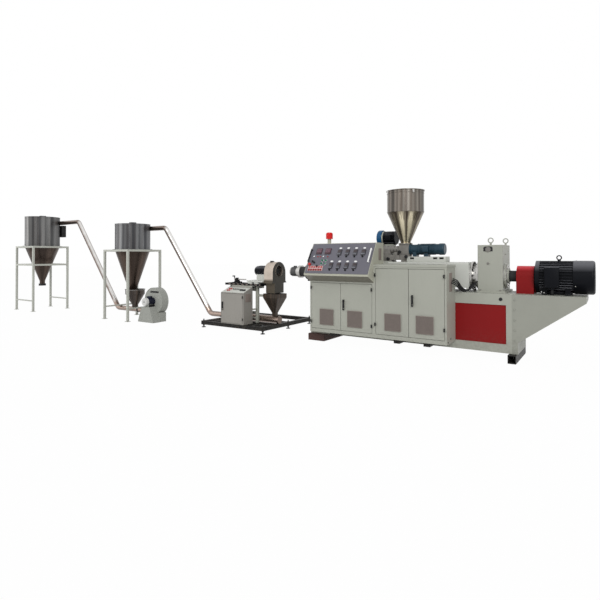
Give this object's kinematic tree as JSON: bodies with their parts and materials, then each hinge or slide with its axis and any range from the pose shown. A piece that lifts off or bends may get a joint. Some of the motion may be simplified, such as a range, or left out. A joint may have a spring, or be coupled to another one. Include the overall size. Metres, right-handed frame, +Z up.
{
  "type": "plastic pelletizing machine",
  "caption": "Plastic pelletizing line: conical twin-screw extruder with operator console, die-face cutter unit, cyclone with blower and a storage silo",
  "frame": {"origin": "the middle of the floor area, at floor height", "axes": "+X runs along the line from the silo to the drive motor, -Y is the operator side, +Z is up"},
  "size_m": [14.501, 2.5179, 2.797],
  "materials": {
    "machine_grey": "satin",
    "desk_grey": "satin",
    "panel_red": "satin",
    "black_paint": "satin",
    "dark_casting": "matte",
    "bright_steel": "brushed",
    "stainless_sheet": "brushed",
    "band_steel": "brushed",
    "pump_blue": "gloss",
    "drive_blue": "satin",
    "instrument_blue": "satin",
    "red_plastic": "gloss",
    "black_plastic": "matte",
    "frame_grey": "satin",
    "hardwood": "matte",
    "white_sheet": "satin"
  },
  "bodies": {
    "line": {"bed_frame": "machine_grey", "bed_panels": "panel_red", "skid_and_bearers": "black_paint", "timber_block": "hardwood", "console_cabinet": "machine_grey", "main_cabinet": "machine_grey", "main_cabinet_lid": "machine_grey", "console_desk": "desk_grey", "control_panel": "instrument_blue", "panel_controls": "black_plastic", "beacon_dome": "red_plastic", "barrel": "dark_casting", "die_head": "bright_steel", "heater_bands": "band_steel", "barrel_stands": "frame_grey", "barrel_cover": "white_sheet", "lantern": "bright_steel", "feeder_housing": "frame_grey", "hopper": "stainless_sheet", "hopper_lid": "stainless_sheet", "feeder_drive": "drive_blue", "feeder_plate": "frame_grey", "vacuum_motor": "black_paint", "vacuum_cover": "pump_blue", "vacuum_stand": "machine_grey", "gearbox": "machine_grey", "coupling": "bright_steel", "coupling_guard": "panel_red", "motor_bracket": "machine_grey", "drive_motor": "black_paint", "cutter_base": "black_paint", "cutter_cabinet": "machine_grey", "cutter_stand": "machine_grey", "slide_rails": "black_paint", "granule_funnel": "stainless_sheet", "cyclone_pipe": "stainless_sheet", "silo_pipe": "stainless_sheet", "cyclone_body": "stainless_sheet", "cyclone_roof": "stainless_sheet", "cyclone_stand": "frame_grey", "feed_bowl": "stainless_sheet", "blower_housing": "frame_grey", "blower_pedestal": "frame_grey", "blower_motor": "pump_blue", "silo_body": "stainless_sheet", "silo_roof": "stainless_sheet", "silo_stand": "frame_grey", "silo_fittings": "black_plastic"},
    "console_door_left_leaf": {"console_door_left": "machine_grey"},
    "console_door_right_leaf": {"console_door_right": "machine_grey"},
    "main_door_left_leaf": {"main_door_left": "machine_grey"},
    "main_door_right_leaf": {"main_door_right": "machine_grey"},
    "cutter_door_leaf": {"cutter_door": "machine_grey"},
    "cutter_carriage": {"carriage": "white_sheet", "cutter_motor": "black_paint", "cutter_hood": "stainless_sheet"},
    "knife_rotor": {"cutter_rotor": "bright_steel"}
  },
  "joints": [
    {"name": "console_door_left_hinge", "type": "hinge", "parent": "line", "child": "console_door_left_leaf", "pos_m": [3.0005, -0.81, 0.7], "axis": [0, 0, -1], "range_deg": [0, 110]},
    {"name": "console_door_right_hinge", "type": "hinge", "parent": "line", "child": "console_door_right_leaf", "pos_m": [4.1785, -0.81, 0.7], "axis": [0, 0, 1], "range_deg": [0, 90]},
    {"name": "main_door_left_hinge", "type": "hinge", "parent": "line", "child": "main_door_left_leaf", "pos_m": [4.2425, -0.81, 0.8], "axis": [0, 0, -1], "range_deg": [0, 90]},
    {"name": "main_door_right_hinge", "type": "hinge", "parent": "line", "child": "main_door_right_leaf", "pos_m": [5.3675, -0.81, 0.8], "axis": [0, 0, 1], "range_deg": [0, 110]},
    {"name": "cutter_door_hinge", "type": "hinge", "parent": "line", "child": "cutter_door_leaf", "pos_m": [1.1305, -0.552, 0.47], "axis": [0, 0, 1], "range_deg": [0, 110]},
    {"name": "cutter_slide", "type": "slide", "parent": "line", "child": "cutter_carriage", "axis": [1, 0, 0], "range_m": [-0.06, 0.06]},
    {"name": "knife_shaft", "type": "hinge", "parent": "cutter_carriage", "child": "knife_rotor", "pos_m": [1.4165, 0.034, 1.255], "axis": [1, 0, 0], "continuous": true}
  ]
}
